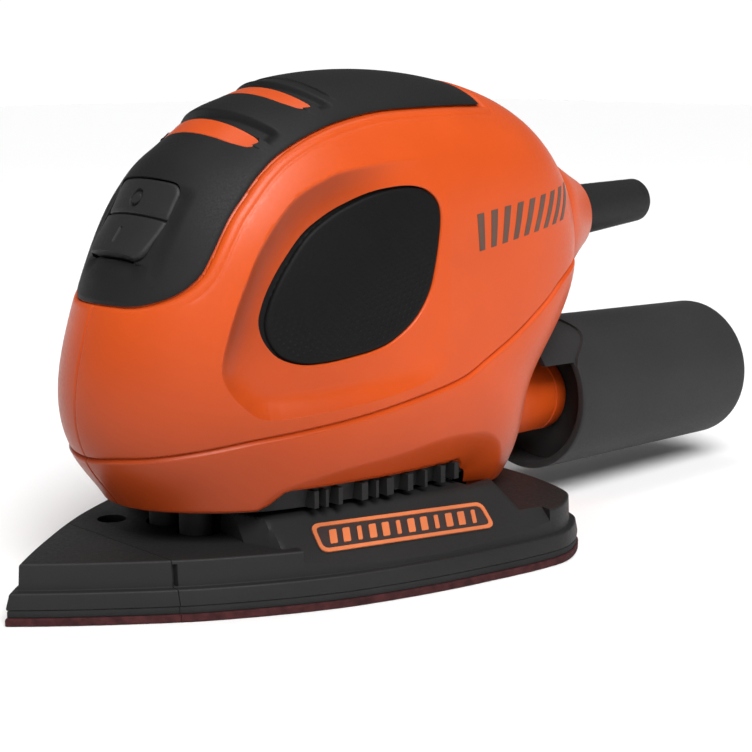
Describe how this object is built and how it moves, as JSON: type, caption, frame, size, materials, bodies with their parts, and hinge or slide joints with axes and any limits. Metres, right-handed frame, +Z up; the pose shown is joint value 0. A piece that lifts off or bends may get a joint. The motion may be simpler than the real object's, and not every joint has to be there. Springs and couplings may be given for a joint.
{
  "type": "detail mouse sander",
  "caption": "Corded palm detail sander: iron-shaped orbital platen, egg-shaped housing with soft grips, rocker switch and rear dust canister.",
  "frame": {"origin": "on the motor axis, in the plane of the abrasive face", "axes": "+Z up along the motor axis, +X to the rear where the cord and the dust canister leave, -X to the nose, -Y the left side"},
  "size_m": [0.2294, 0.0972, 0.1102],
  "materials": {
    "shell_orange": "satin moulded",
    "black_plastic": "fine spark-eroded texture",
    "soft_grip": "soft-touch overmould",
    "tread_grip": "raised tread",
    "platen_plastic": "fine texture",
    "badge": "printed frame",
    "steel": "zinc plated",
    "dark_steel": "laminated",
    "magnet": "sintered",
    "copper": "enamelled wire",
    "brass": "bright",
    "carbon": "graphite",
    "zinc": "die cast",
    "internal_plastic": "moulded",
    "white_plastic": "moulded",
    "board": "laminate",
    "rubber_black": "moulded",
    "hook_pad": "hook face",
    "abrasive": "grit on cloth-backed paper",
    "canister_black": "matt moulded",
    "filter_media": "pleated"
  },
  "bodies": {
    "housing": {"housing_left": "shell_orange", "housing_right": "shell_orange", "top_grip_cover": "soft_grip", "side_grip_left": "tread_grip", "side_grip_right": "tread_grip", "housing_screws": "steel", "dust_skirt": "black_plastic", "fan_baffle": "internal_plastic", "flexible_legs": "rubber_black", "switch_body": "internal_plastic", "switch_terminals": "brass", "motor_can": "steel", "field_magnets": "magnet", "motor_mount_rings": "rubber_black", "motor_end_cap": "white_plastic", "motor_bearing_outer_races": "steel", "brush_holders": "brass", "carbon_brushes": "carbon", "brush_springs": "steel", "lead_wires": "copper", "rectifier_board": "board", "suppression_capacitor": "white_plastic", "cord_guard": "rubber_black", "cord_clamp": "internal_plastic", "cord_saddle": "internal_plastic", "clamp_screws": "steel"},
    "rotor": {"motor_shaft": "steel", "armature_core": "dark_steel", "armature_windings": "copper", "commutator": "copper", "motor_bearing_inner_races": "steel", "motor_bearing_balls": "steel", "eccentric_hub": "steel", "counterweight": "zinc", "dust_fan": "internal_plastic", "platen_bearing_inner_race": "steel", "platen_bearing_balls": "steel", "platen_screw": "steel", "platen_washer": "steel"},
    "platen": {"platen": "platen_plastic", "nose_tip": "platen_plastic", "nose_tip_screw": "steel", "platen_bearing_outer_race": "steel", "hook_pad": "hook_pad", "hook_pad_tip": "hook_pad", "sanding_sheet": "abrasive", "sanding_sheet_tip": "abrasive", "badge_plate_left": "badge", "badge_plate_right": "badge"},
    "rocker": {"rocker_cap": "black_plastic"},
    "canister": {"canister_shell": "canister_black", "canister_socket": "canister_black", "filter_frame": "internal_plastic", "canister_filter": "filter_media"}
  },
  "joints": [
    {"name": "motor_spin", "type": "hinge", "parent": "housing", "child": "rotor", "pos_m": [0, 0, 0.05], "axis": [0, 0, 1], "continuous": true},
    {"name": "platen_orbit", "type": "hinge", "parent": "rotor", "child": "platen", "pos_m": [0.0008, 0, 0.0088], "axis": [0, 0, 1], "continuous": true},
    {"name": "rocker_tilt", "type": "hinge", "parent": "housing", "child": "rocker", "pos_m": [-0.04172, 0, 0.07838], "axis": [0, -1, 0], "range_deg": [0, 6]},
    {"name": "canister_pull", "type": "slide", "parent": "housing", "child": "canister", "axis": [0.9997, 0, -0.0244], "range_m": [0, 0.07]}
  ],
  "couplings": [
    {"joint": "platen_orbit", "follows": "motor_spin", "ratio": -1}
  ]
}
